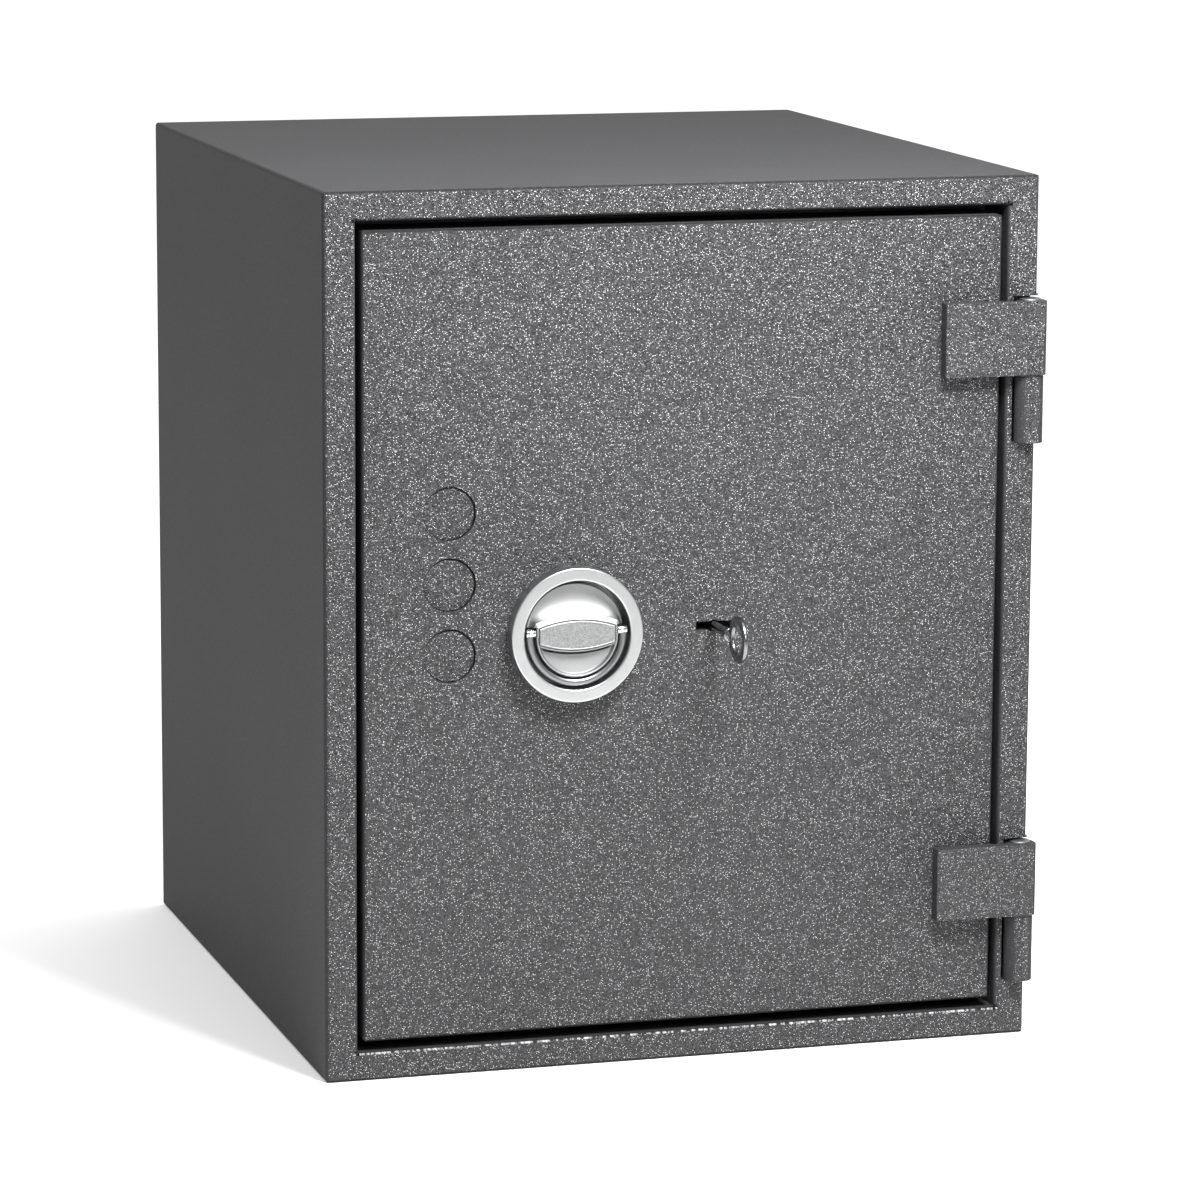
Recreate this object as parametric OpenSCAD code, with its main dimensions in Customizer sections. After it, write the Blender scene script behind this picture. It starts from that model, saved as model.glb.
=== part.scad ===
/* [Cabinet] */
// Outside width of the cabinet
body_w = 500; // [480:10:560]
// Outside height of the cabinet
body_h = 600; // [580:10:700]
// Outside depth of the cabinet, without handle and hinges
body_d = 530; // [430:10:600]
// Thickness of the outer sheet
sheet_t = 3; // [2.5:0.5:4]
// Radius of the folded front edges
edge_r = 3.5; // [2:0.5:4]
// Width of the front face beside the door
face_x = 22; // [21:0.5:24]
// Height of the front face above and below the door
face_z = 20; // [18:0.5:24]

/* [Door] */
// Gap between door and frame at the sides
gap_x = 4; // [3.5:0.5:5]
// Gap between door and frame at top and bottom
gap_z = 6.5; // [4:0.5:8]
// How far the door face lies behind the frame face
door_sink = 1; // [0.5:0.5:1.5]
// Thickness of the door's front plate
plate_t = 6; // [5:0.5:8]
// Radius of the door's front edges
door_r = 3; // [1:0.5:3.5]
// Diameter of the blanking discs
disc_d = 36; // [30:1:40]
// Distance between the blanking discs
disc_pitch = 48; // [44:1:50]

/* [Hinges] */
// Diameter of the hinge pin
pin_d = 15; // [12:1:15]
// Height of a hinge strap
strap_h = 50.5; // [46:0.5:56]
// Underside of the upper hinge strap above the floor
strap_top_z = 464; // [430:0.5:470]
// Underside of the lower hinge strap above the floor
strap_low_z = 86; // [75:0.5:120]

/* [Handle and lock] */
// Outside diameter of the handle ring
ring_d = 91.5; // [88:0.5:94]
// How far the ring stands out of the door face
ring_proud = 12; // [11:0.5:13]
// Throw of the main bolts is set by the pinion's module
gear_m = 2.5; // [2.3:0.1:2.5]
// Throw of the key lock's bolt
lock_throw = 10; // [8:1:10]

/* [Hidden] */
$fn = 64;
yf = -body_d / 2;            // front plane of the cabinet
hw = body_w / 2;
wall = 42;                   // whole wall thickness
open_x = hw - face_x;        // half width of the door opening
open_z0 = face_z;
open_z1 = body_h - face_z;
reb_d = 46;                  // depth of the rebate behind the front face
frm_d = 104;                 // rear end of the bolt frame
cav_x = hw - wall;           // half width of the inside
cav_z0 = wall;
cav_z1 = body_h - wall;
cav_back = body_d - 50;      // inside of the back wall
// hinge axis
hx = hw - 5;
hd = 1.5;
knuckle_r = 10;
knuckle_h = 47;
pin_r = pin_d / 2;
strap_x0 = 181;              // left end of a strap
hinge_z = [strap_top_z, strap_low_z];
// door
door_x = open_x - gap_x;
door_z0 = open_z0 + gap_z;
door_z1 = open_z1 - gap_z;
fd = door_sink;              // depth of the door face
in_d = fd + plate_t;         // inside of the front plate
mp0 = 39;                    // mounting plate, front
mp1 = 43;                    // mounting plate, rear
cov_x0 = -(cav_x - 11);
cov_x1 = cav_x - 8;
cov_z0 = cav_z0 + 8;
cov_z1 = cav_z1 - 8;
cov_d = 97;
mid_z = 300;
// handle
kx = -78.5;
ring_face = fd - ring_proud;
cup_r = 37;
piv_z = 2;
piv_d = ring_face + 4.5;
// pinion and racks
teeth = 12;
pr = gear_m * teeth / 2;
pitch = PI * gear_m;
throw = PI * pr / 2;
// bolts
bolt_r = 11;
bolt_d = 64;
bolt_z = [130, 300, 470];
dog_r = 9;
dog_d = 70;
dog_z = [170, 300, 430];
car_x = -152;                // right face of the carrier plate
rod_d = 74;
top_x = kx - pr - 8.5;
bot_x = kx + pr + 8.5;
// key lock
lx = 20.5;
case_x0 = lx - 38;
case_x1 = lx + 38;
case_z0 = 262;
case_z1 = 346;
case_d = 66;
lever_z = mid_z + 35;
lever_tilt = 5.4;
disc_x = -164;
disc_z = [384, 384 - disc_pitch, 384 - 2 * disc_pitch];
// shelf
shelf_z = 298;
pin_ds = [180, 420];
pin_rows = [175, 235, 295, 355, 415];
anchor_x = 120;
anchor_d = 290;
anchor_z = 440;

// ---------- helpers: x to the right, d = depth behind the front plane, z up ----------
module front() translate([0, yf, 0]) children();
module box(x0, x1, d0, d1, z0, z1) translate([x0, d0, z0]) cube([x1 - x0, d1 - d0, z1 - z0]);
// cylinder along the depth
module cyl_d(x, z, r, d0, d1, f = 64)
  translate([x, d1, z]) rotate([90, 0, 0]) cylinder(r = r, h = d1 - d0, $fn = f);
// cylinder along x
module cyl_x(d, z, r, x0, x1, f = 64)
  translate([x0, d, z]) rotate([0, 90, 0]) cylinder(r = r, h = x1 - x0, $fn = f);
// upright cylinder
module cyl_z(x, d, r, z0, z1, f = 64) translate([x, d, z0]) cylinder(r = r, h = z1 - z0, $fn = f);
// prism that rounds one convex edge; the corner of the edge lies on the axis,
// the material lies towards +x +y of the profile
module edge_prof(r) difference() {
  translate([-1, -1]) square([r + 1, r + 1]);
  translate([r, r]) circle(r = r, $fn = 48);
}
// edge along z at (x, d); sx, sd = direction from the edge into the material
module round_z(x, d, sx, sd, r, z0, z1) translate([x, d, z0])
  mirror([sx < 0 ? 1 : 0, 0, 0]) mirror([0, sd < 0 ? 1 : 0, 0])
    linear_extrude(z1 - z0) edge_prof(r);
// edge along x at (d, z)
module round_x(d, z, sd, sz, r, x0, x1) translate([x0, d, z])
  mirror([0, sd < 0 ? 1 : 0, 0]) mirror([0, 0, sz < 0 ? 1 : 0])
    rotate([90, 0, 90]) linear_extrude(x1 - x0) edge_prof(r);
// edge along the depth at (x, z)
module round_d(x, z, sx, sz, r, d0, d1) translate([x, d0, z])
  mirror([sx < 0 ? 1 : 0, 0, 0]) mirror([0, 0, sz < 0 ? 1 : 0])
    translate([0, d1 - d0, 0]) rotate([90, 0, 0]) linear_extrude(d1 - d0) edge_prof(r);
// rounds the four front edges of a block
module round_front(x0, x1, z0, z1, d, r) {
  round_z(x0, d, 1, 1, r, z0 - 1, z1 + 1);
  round_z(x1, d, -1, 1, r, z0 - 1, z1 + 1);
  round_x(d, z0, 1, 1, r, x0 - 1, x1 + 1);
  round_x(d, z1, 1, -1, r, x0 - 1, x1 + 1);
}
// rounds the front edges of an opening
module round_opening(x0, x1, z0, z1, d, r) {
  round_z(x0, d, -1, 1, r, z0 - r, z1 + r);
  round_z(x1, d, 1, 1, r, z0 - r, z1 + r);
  round_x(d, z0, 1, -1, r, x0 - r, x1 + r);
  round_x(d, z1, 1, 1, r, x0 - r, x1 + r);
}
// hollow rectangular ring
module ring_box(ox, oz0, oz1, ix, iz0, iz1, d0, d1) difference() {
  box(-ox, ox, d0, d1, oz0, oz1);
  box(-ix, ix, d0 - 1, d1 + 1, iz0, iz1);
}
// plan of the recess around a hinge, grown by g
module recess_plan(g) union() {
  translate([hx, hd]) circle(r = 12.6 + g, $fn = 96);
  translate([hx, -3]) square([20, 3 + 14.2 + g]);
}
module recess(g, z, gz) translate([0, 0, z - knuckle_h - gz])
  linear_extrude(strap_h + knuckle_h + 3.2 + 2 * gz) recess_plan(g);
module all_recesses(g, gz) for (z = hinge_z) recess(g, z, gz);
// key slot across the depth
module key_slot(w, t, r, d0, d1) {
  box(lx - w / 2, lx + w / 2, d0, d1, mid_z - t / 2, mid_z + t / 2);
  cyl_d(lx, mid_z, r, d0, d1, 48);
}
module anchor_holes(r) {
  for (s = [-1, 1]) {
    cyl_z(s * anchor_x, anchor_d, r, -1, wall + 1, 48);
    cyl_d(s * anchor_x, anchor_z, r, cav_back - 1, body_d + 1, 48);
  }
}

// ---------- cabinet ----------
module outer_shell() color([0.30, 0.31, 0.32]) front() difference() {
  union() {
    difference() {
      box(-hw, hw, 0, body_d, 0, body_h);
      box(-hw + sheet_t, hw - sheet_t, sheet_t, body_d + 1, sheet_t, body_h - sheet_t);
    }
    ring_box(open_x + sheet_t, open_z0 - sheet_t, open_z1 + sheet_t, open_x, open_z0, open_z1, 1, reb_d);
  }
  box(-open_x, open_x, -1, sheet_t + 1, open_z0, open_z1);
  round_front(-hw, hw, 0, body_h, 0, edge_r);
  for (s = [-1, 1]) {
    round_d(s * hw, 0, -s, 1, 2.5, -1, body_d + 1);
    round_d(s * hw, body_h, -s, -1, 2.5, -1, body_d + 1);
  }
  round_opening(-open_x, open_x, open_z0, open_z1, 0, 2.5);
  all_recesses(1.2, 1.2);
  anchor_holes(11);
}
module rear_panel() color([0.30, 0.31, 0.32]) front() difference() {
  box(-hw + sheet_t, hw - sheet_t, body_d - 3, body_d, sheet_t, body_h - sheet_t);
  anchor_holes(11);
}
module bolt_openings(g) {
  for (z = bolt_z) cyl_x(bolt_d, z, 12.5 + g, -cav_x - 22, -cav_x + 1);
  for (z = dog_z) box(cav_x - 1, cav_x + 22, 52 - g, 84 + g, z - 13 - g, z + 13 + g);
  cyl_z(top_x, rod_d, 11.5 + g, cav_z1 - 1, cav_z1 + 26);
  cyl_z(bot_x, rod_d, 11.5 + g, cav_z0 - 26, cav_z0 + 1);
}
module wall_infill() color([0.62, 0.61, 0.58]) front() difference() {
  box(-hw + sheet_t, hw - sheet_t, sheet_t, body_d - 3, sheet_t, body_h - sheet_t);
  box(-open_x - sheet_t, open_x + sheet_t, -1, reb_d + 4, open_z0 - sheet_t, open_z1 + sheet_t);
  box(-cav_x - 8, cav_x + 8, reb_d, frm_d, cav_z0 - 8, cav_z1 + 8);
  box(-cav_x - 2, cav_x + 2, reb_d, cav_back + 2, cav_z0 - 2, cav_z1 + 2);
  bolt_openings(0);
  all_recesses(1.2, 1.2);
  anchor_holes(11);
  for (d = pin_ds) for (s = [-1, 1]) cyl_x(d, shelf_z - 3, 3, s * 215 - 8, s * 215 + 8, 32);
}
module bolt_frame() color([0.34, 0.35, 0.36]) front() difference() {
  union() {
    ring_box(open_x + sheet_t, open_z0 - sheet_t, open_z1 + sheet_t, cav_x, cav_z0, cav_z1, reb_d, reb_d + 4);
    ring_box(cav_x + 8, cav_z0 - 8, cav_z1 + 8, cav_x, cav_z0, cav_z1, reb_d + 4, frm_d);
  }
  bolt_openings(0);
}
module inner_liner() color([0.55, 0.56, 0.57]) front() difference() {
  box(-cav_x - 2, cav_x + 2, frm_d, cav_back + 2, cav_z0 - 2, cav_z1 + 2);
  box(-cav_x, cav_x, frm_d - 1, cav_back, cav_z0, cav_z1);
  anchor_holes(11);
  for (d = pin_ds) for (z = pin_rows) for (s = [-1, 1])
    cyl_x(d, z, 3, s * cav_x - 4, s * cav_x + 4, 32);
}
module hinge_recesses() color([0.27, 0.28, 0.29]) front() intersection() {
  box(hx - 20, hw, 0, 30, 0, body_h);
  for (z = hinge_z) difference() {
    recess(1.2, z, 1.2);
    recess(0, z, 0);
  }
}
module hinge_knuckles() color([0.30, 0.31, 0.32]) front() for (z = hinge_z) difference() {
  union() {
    cyl_z(hx, hd, knuckle_r, z - knuckle_h, z - 1.6);
    box(hx, hw - 0.5, hd, 14.2, z - knuckle_h, z - 1.6);
  }
  cyl_z(hx, hd, pin_r, z - knuckle_h + 8, z);
}
module hinge_pins() color([0.72, 0.73, 0.74]) front() for (z = hinge_z) {
  cyl_z(hx, hd, pin_r, z - knuckle_h + 8, z + strap_h + 1);
  translate([hx, hd, z + strap_h + 1]) cylinder(r1 = pin_r, r2 = pin_r - 0.8, h = 0.8);
}
module hinge_washers() color([0.70, 0.62, 0.40]) front() for (z = hinge_z) difference() {
  cyl_z(hx, hd, knuckle_r - 0.3, z - 1.6, z - 0.1);
  cyl_z(hx, hd, pin_r, z - 2, z + 1);
}
module shelf() color([0.55, 0.56, 0.57]) front() difference() {
  union() {
    box(-cav_x + 3, cav_x - 3, 125, 470, shelf_z, shelf_z + 1.5);
    box(-cav_x + 3, cav_x - 3, 125, 126.5, shelf_z - 20, shelf_z + 1.5);
    box(-cav_x + 3, cav_x - 3, 468.5, 470, shelf_z - 20, shelf_z + 1.5);
    box(-cav_x + 3, cav_x - 3, 125, 138, shelf_z - 20, shelf_z - 18.5);
  }
  round_x(125, shelf_z + 1.5, 1, -1, 1.4, -cav_x, cav_x);
}
module shelf_pins() color([0.75, 0.76, 0.77]) front() for (d = pin_ds) {
  cyl_x(d, shelf_z - 3, 3, -cav_x - 8, -cav_x + 12, 32);
  cyl_x(d, shelf_z - 3, 3, cav_x - 12, cav_x + 8, 32);
}
module anchor_sleeves() color([0.60, 0.61, 0.62]) front() for (s = [-1, 1]) {
  difference() {
    cyl_z(s * anchor_x, anchor_d, 11, 0, wall, 48);
    cyl_z(s * anchor_x, anchor_d, 7, -1, wall + 1, 48);
  }
  difference() {
    cyl_d(s * anchor_x, anchor_z, 11, cav_back, body_d, 48);
    cyl_d(s * anchor_x, anchor_z, 7, cav_back - 1, body_d + 1, 48);
  }
}

// ---------- door ----------
module door_plate() color([0.33, 0.34, 0.35]) front() difference() {
  box(-door_x, door_x, fd, mp1, door_z0, door_z1);
  box(-door_x + 4, door_x - 4, in_d, mp1 + 1, door_z0 + 4, door_z1 - 4);
  round_front(-door_x, door_x, door_z0, door_z1, fd, door_r);
  for (s = [-1, 1]) {
    round_d(s * door_x, door_z0, -s, 1, 3, 0, mp1 + 1);
    round_d(s * door_x, door_z1, -s, -1, 3, 0, mp1 + 1);
  }
  for (z = disc_z) cyl_d(disc_x, z, disc_d / 2 + 0.15, 0, in_d + 1, 96);
  cyl_d(kx, mid_z, cup_r + 2.1, 0, in_d + 1, 96);
  key_slot(25, 6, 4, 0, in_d + 1);
}
module door_infill() color([0.66, 0.65, 0.61]) front() difference() {
  box(-door_x + 4, door_x - 4, in_d, mp0, door_z0 + 4, door_z1 - 4);
  cyl_d(kx, mid_z, cup_r + 2, 0, 13, 96);
  cyl_d(kx, mid_z, 9, 0, mp0 + 1);
  for (s = [-1, 1]) cyl_d(kx + s * 27, mid_z, 2.5, 0, mp0 + 1, 32);
  box(lx - 15, lx + 15, 0, mp0 + 1, mid_z - 6, mid_z + 6);
  plate_holes(3);
}
module plate_holes(r) for (x = [-206, 206]) for (z = [50, 190, 410, 550])
  cyl_d(x, z, r, 26, mp1 + 1, 32);
module mounting_plate() color([0.62, 0.63, 0.60]) front() difference() {
  box(-door_x + 4, door_x - 4, mp0, mp1, door_z0 + 4, door_z1 - 4);
  cyl_d(kx, mid_z, 9, mp0 - 1, mp1 + 1);
  for (s = [-1, 1]) cyl_d(kx + s * 27, mid_z, 2.5, mp0 - 1, mp1 + 1, 32);
  box(lx - 15, lx + 15, mp0 - 1, mp1 + 1, mid_z - 6, mid_z + 6);
  plate_holes(3);
}
module plate_screws() color([0.75, 0.76, 0.77]) front()
  for (x = [-206, 206]) for (z = [50, 190, 410, 550]) {
    cyl_d(x, z, 3, 26, mp1, 32);
    translate([x, mp1 + 1.6, z]) rotate([90, 0, 0]) difference() {
      cylinder(r1 = 3.6, r2 = 5, h = 1.6, $fn = 32);
      translate([0, 0, -0.5]) cylinder(r = 1.8, h = 1.5, $fn = 6);
    }
  }
module door_cover() color([0.52, 0.53, 0.54]) front() difference() {
  box(cov_x0, cov_x1, mp1, cov_d, cov_z0, cov_z1);
  box(cov_x0 + 2, cov_x1 - 2, mp1 - 1, cov_d - 2, cov_z0 + 2, cov_z1 - 2);
  for (z = bolt_z) cyl_x(bolt_d, z, bolt_r + 0.6, cov_x0 - 1, cov_x0 + 3);
  for (z = dog_z) cyl_x(dog_d, z, dog_r + 0.5, cov_x1 - 3, cov_x1 + 1);
  cyl_z(top_x, rod_d, 10.6, cov_z1 - 3, cov_z1 + 1);
  cyl_z(bot_x, rod_d, 10.6, cov_z0 - 1, cov_z0 + 3);
  for (p = post_xz()) cyl_d(p[0], p[1], 2.2, cov_d - 3, cov_d + 1, 32);
  for (s = [-1, 1]) {
    round_d(s < 0 ? cov_x0 : cov_x1, cov_z0, -s, 1, 3, mp1 - 1, cov_d + 1);
    round_d(s < 0 ? cov_x0 : cov_x1, cov_z1, -s, -1, 3, mp1 - 1, cov_d + 1);
  }
}
function post_xz() = concat([for (z = [74, 526]) for (x = [cov_x0 + 30, cov_x1 - 24]) [x, z]],
  [for (z = [220, 380]) for (x = [car_x + 20, cov_x1 - 50]) [x, z]]);
module cover_standoffs() color([0.70, 0.71, 0.72]) front() for (p = post_xz()) difference() {
  cyl_d(p[0], p[1], 5, mp1, cov_d - 2, 32);
  cyl_d(p[0], p[1], 2, 84, cov_d, 32);
}
module cover_screws() color([0.75, 0.76, 0.77]) front() for (p = post_xz()) {
  cyl_d(p[0], p[1], 2, 84, cov_d, 32);
  translate([p[0], cov_d + 2, p[1]]) rotate([90, 0, 0]) difference() {
    cylinder(r1 = 2.6, r2 = 4, h = 2, $fn = 32);
    translate([0, 0, -0.5]) cylinder(r = 1.3, h = 1.6, $fn = 6);
  }
}
module door_seal() color([0.12, 0.12, 0.13]) front()
  ring_box(door_x - 6, door_z0 + 6, door_z1 - 6, door_x - 12, door_z0 + 12, door_z1 - 12, mp1, mp1 + 2);
module strap(z) difference() {
  union() {
    box(strap_x0, door_x, hd - knuckle_r, fd, z, z + strap_h);
    box(strap_x0, hx, hd - knuckle_r, fd - 1.8, z, z + strap_h);
    cyl_z(hx, hd, knuckle_r, z, z + strap_h);
    box(hx - 3, hx + knuckle_r, hd - knuckle_r, hd, z, z + strap_h);
  }
  cyl_z(hx, hd, pin_r + 0.05, z - 1, z + strap_h + 1);
  round_z(hx + knuckle_r, hd - knuckle_r, -1, 1, 5, z - 1, z + strap_h + 1);
  round_z(strap_x0, hd - knuckle_r, 1, 1, 0.8, z - 1, z + strap_h + 1);
}
module hinge_straps() color([0.33, 0.34, 0.35]) front() for (z = hinge_z) strap(z);
module blanking_discs() color([0.33, 0.34, 0.35]) front()
  for (z = disc_z) cyl_d(disc_x, z, disc_d / 2, fd + 3.2, in_d, 96);
module dog_rail() color([0.62, 0.63, 0.60]) front() difference() {
  union() {
    box(188, 194, mp1, 88, 140, 460);
    box(170, 190, mp1, mp1 + 5, 140, 460);
  }
  for (z = dog_z) cyl_x(dog_d, z, 5, 180, 196, 32);
}
module fixed_dogs() color([0.76, 0.77, 0.78]) front() for (z = dog_z) {
  cyl_x(dog_d, z, dog_r, 194, 216);
  translate([216, dog_d, z]) rotate([0, 90, 0]) cylinder(r1 = dog_r, r2 = dog_r - 2, h = 2);
  cyl_x(dog_d, z, 5, 186, 194, 32);
}
module bolt_guide_rail() color([0.62, 0.63, 0.60]) front() difference() {
  union() {
    box(-194, -188, mp1, 88, 100, 500);
    box(-190, -176, mp1, mp1 + 1.2, 100, 500);
  }
  for (z = bolt_z) cyl_x(bolt_d, z, bolt_r + 0.05, -196, -186);
}
module rod_guides() color([0.62, 0.63, 0.60]) front() {
  for (z = [396, 476]) difference() {
    box(top_x - 12, top_x + 12, mp1, 84, z, z + 14);
    box(top_x - 6.3, top_x + 6.3, rod_d - 4.3, rod_d + 4.3, z - 1, z + 15);
  }
  for (z = [110, 190]) difference() {
    box(bot_x - 12, bot_x + 12, mp1, 84, z, z + 14);
    box(bot_x - 6.3, bot_x + 6.3, rod_d - 4.3, rod_d + 4.3, z - 1, z + 15);
  }
}
module bar_guides() color([0.62, 0.63, 0.60]) front() {
  difference() {
    box(-138, -126, mp1, 72, 260, 292);
    box(-139, -125, 57.7, 66.3, 269.7, mid_z - pr - 2.1);
  }
  difference() {
    box(-36, -24, mp1, 59, 228, 260.5);
    box(-37, -23, 44.7, 53.3, 235.7, 258.3);
  }
}
module handle_housing() color([0.78, 0.79, 0.80]) front() translate([kx, 0, mid_z]) rotate([-90, 0, 0]) rotate_extrude($fn = 128)
  polygon([[cup_r, ring_face + 0.6], [cup_r + 0.6, ring_face], [ring_d / 2 - 1, ring_face], [ring_d / 2, ring_face + 1],
    [ring_d / 2, fd], [cup_r + 2, fd], [cup_r + 2, 13], [6.06, 13], [6.06, 10], [cup_r, 10]]);
module handle_screws() color([0.75, 0.76, 0.77]) front() for (s = [-1, 1]) {
  cyl_d(kx + s * 27, mid_z, 2.5, 13, mp1, 32);
  translate([kx + s * 27, mp1 + 3, mid_z]) rotate([90, 0, 0]) difference() {
    cylinder(r = 4.5, h = 3, $fn = 32);
    translate([0, 0, -1]) cylinder(r = 2, h = 3, $fn = 6);
  }
}
module spindle_bush() color([0.74, 0.62, 0.34]) front() difference() {
  union() {
    cyl_d(kx, mid_z, 9, 22, mp1);
    cyl_d(kx, mid_z, 13, mp1, mp1 + 2);
  }
  cyl_d(kx, mid_z, 6.05, 20, mp1 + 4);
}
module key_tube() color([0.62, 0.63, 0.64]) front() difference() {
  box(lx - 15, lx + 15, in_d, mp1, mid_z - 6, mid_z + 6);
  key_slot(25, 6, 4, in_d - 1, mp1 + 1);
}
module lock_case() color([0.64, 0.62, 0.55]) front() difference() {
  box(case_x0, case_x1, mp1, case_d, case_z0, case_z1);
  box(case_x0 + 3, case_x1 - 3, mp1 + 3, case_d + 1, case_z0 + 3, case_z1 - 3);
  key_slot(25, 4.2, 8.05, mp1 - 1, mp1 + 4);
  box(lx - 9.2, lx + 9.2, 46.1, 52.5, case_z0 - 1, case_z0 + 4);
  cyl_d(lx, lever_z, 3, mp1 + 1, mp1 + 4, 32);
}
module lock_corner(r, d0, d1) for (x = [case_x0 + 7, case_x1 - 7]) for (z = [case_z0 + 7, case_z1 - 7])
  cyl_d(x, z, r, d0, d1, 32);
module lock_cover() color([0.66, 0.64, 0.57]) front() difference() {
  box(case_x0, case_x1, case_d, case_d + 2.5, case_z0, case_z1);
  cyl_d(lx, mid_z, 4.05, case_d - 1, case_d + 4, 48);
  cyl_d(lx, lever_z, 3, case_d - 1, case_d + 1.2, 32);
  lock_corner(2, case_d - 1, case_d + 4);
}
module lock_screws() color([0.75, 0.76, 0.77]) front() {
  lock_corner(2, mp1 + 3, case_d + 2.5);
  difference() {
    lock_corner(3.8, case_d + 2.5, case_d + 4.7);
    lock_corner(1.4, case_d + 3.4, case_d + 6);
  }
}
module lever_post() color([0.74, 0.75, 0.76]) front() cyl_d(lx, lever_z, 3, mp1 + 1, case_d + 1.2, 32);

// ---------- handle ----------
// outline of the grip bar: a lens with square ends
module grip_plan(hx2, hend, hmid, g) {
  rr = (hx2 * hx2 + (hmid - hend) * (hmid - hend)) / (2 * (hmid - hend));
  intersection() {
    translate([0, hmid - rr]) circle(r = rr - g, $fn = 256);
    translate([0, rr - hmid]) circle(r = rr - g, $fn = 256);
    square([2 * (hx2 - g), 100], center = true);
  }
}
module handle_rotor() color([0.75, 0.76, 0.77]) front() translate([kx, 0, mid_z]) difference() {
  union() {
    cyl_d(0, 0, 36.2, 6, 9.6, 128);
    // upper half of the dish
    difference() {
      intersection() {
        cyl_d(0, 0, 34, ring_face + 8, 7, 128);
        box(-40, 40, -30, 30, 0, 40);
      }
      translate([0, ring_face + 9.8 - 90, 26]) sphere(r = 90, $fn = 160);
    }
    // shoulder along the upper side of the grip bar
    intersection() {
      translate([0, 7, 0]) rotate([90, 0, 0]) linear_extrude(7 - ring_face - 3.4) grip_plan(28, 6.5, 11.5, -2.6);
      box(-29.5, 29.5, -30, 30, 6.2, 40);
    }
    // lower half with its raised rim
    difference() {
      intersection() {
        cyl_d(0, 0, 28.4, ring_face + 0.8, 7, 128);
        box(-40, 40, -30, 30, -40, 0.01);
      }
      intersection() {
        cyl_d(0, 0, 27.2, -40, 6, 128);
        translate([0, ring_face + 1.8 - 53.48, 0]) sphere(r = 60, $fn = 160);
      }
    }
    // grip bar
    translate([0, 7, 0]) rotate([90, 0, 0]) linear_extrude(7 - ring_face - 1.2) grip_plan(28, 6.5, 11.5, 0);
  }
  // seats of the bail pins
  cyl_x(piv_d, piv_z, 1.5, -29, -20, 24);
  cyl_x(piv_d, piv_z, 1.5, 20, 29, 24);
  cyl_d(0, 0, 6, 4, 11, 48);
}
module grip_plate() color([0.85, 0.86, 0.87]) front() translate([kx, ring_face + 1.2, mid_z])
  rotate([90, 0, 0]) linear_extrude(0.9) intersection() {
    grip_plan(28, 6.5, 11.5, 0.9);
    circle(r = 27.1, $fn = 128);
  }
module bail_pins() color([0.78, 0.79, 0.80]) front() translate([kx, 0, mid_z]) {
  cyl_x(piv_d, piv_z, 1.5, -34.4, -20, 24);
  cyl_x(piv_d, piv_z, 1.5, 20, 34.4, 24);
}
module spindle() color([0.68, 0.69, 0.70]) front() difference() {
  cyl_d(kx, mid_z, 6, 4, 84, 48);
  difference() {
    cyl_d(kx, mid_z, 7, 80, 81.2, 48);
    cyl_d(kx, mid_z, 5, 79, 82, 48);
  }
}
// involute flank point at radius r, measured from the tooth's centre line
function inv(a) = tan(a) * 180 / PI - a;
function half_ang(r, rb, s) = s / (2 * pr) * 180 / PI + inv(20) - (r > rb ? inv(acos(rb / r)) : 0);
function tooth(rr, ra, rb, s, c) = concat(
  [[rr * cos(c - half_ang(rb, rb, s)), rr * sin(c - half_ang(rb, rb, s))]],
  [for (k = [0:4]) let (r = rb + (ra - rb) * k / 4, h = half_ang(r, rb, s)) [r * cos(c - h), r * sin(c - h)]],
  [for (k = [4:-1:0]) let (r = rb + (ra - rb) * k / 4, h = half_ang(r, rb, s)) [r * cos(c + h), r * sin(c + h)]],
  [[rr * cos(c + half_ang(rb, rb, s)), rr * sin(c + half_ang(rb, rb, s))]]);
module pinion() color([0.66, 0.67, 0.66]) front() translate([kx, 79, mid_z]) rotate([90, 0, 0]) difference() {
  linear_extrude(22) polygon([for (i = [0:teeth - 1])
    for (p = tooth(pr - 2.3, pr + 1.9, pr * cos(20), gear_m * 1.28, 15 + i * 30)) p]);
  translate([0, 0, -1]) cylinder(r = 6, h = 24, $fn = 48);
}
module spindle_clip() color([0.35, 0.35, 0.36]) front() difference() {
  cyl_d(kx, mid_z, 9, 80, 81.2, 48);
  cyl_d(kx, mid_z, 5, 79, 82, 48);
  box(kx - 3.4, kx + 3.4, 79, 82, mid_z - 12, mid_z - 3);
}
// rack outline: teeth at x = k * pitch, pitch line at y = 0, teeth up
module rack_teeth(k0, k1) for (k = [k0:k1]) translate([k * pitch, 0])
  polygon([[-2.6, -2.6], [-1.6 - 2.4 * tan(20), -2.4], [-1.6 + 1.6 * tan(20), 1.6], [1.6 - 1.6 * tan(20), 1.6],
    [1.6 + 2.4 * tan(20), -2.4], [2.6, -2.6]]);

// ---------- folding bail ----------
module bail() color([0.80, 0.81, 0.82]) front() translate([kx, 0, mid_z]) difference() {
  union() {
    // half ring below the centre
    translate([0, piv_d, 0]) rotate([90, 0, 0]) difference() {
      rotate_extrude($fn = 96) translate([32.4, 0]) circle(r = 3, $fn = 32);
      translate([-50, 0, -10]) cube([100, 50, 20]);
    }
    // legs and eyes
    for (s = [-1, 1]) {
      cyl_z(s * 32.4, piv_d, 3, 0, piv_z, 32);
      cyl_x(piv_d, piv_z, 3, s > 0 ? 28.4 : -35.2, s > 0 ? 35.2 : -28.4, 32);
    }
  }
  cyl_x(piv_d, piv_z, 1.55, -36, -28, 24);
  cyl_x(piv_d, piv_z, 1.55, 28, 36, 24);
}

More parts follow.
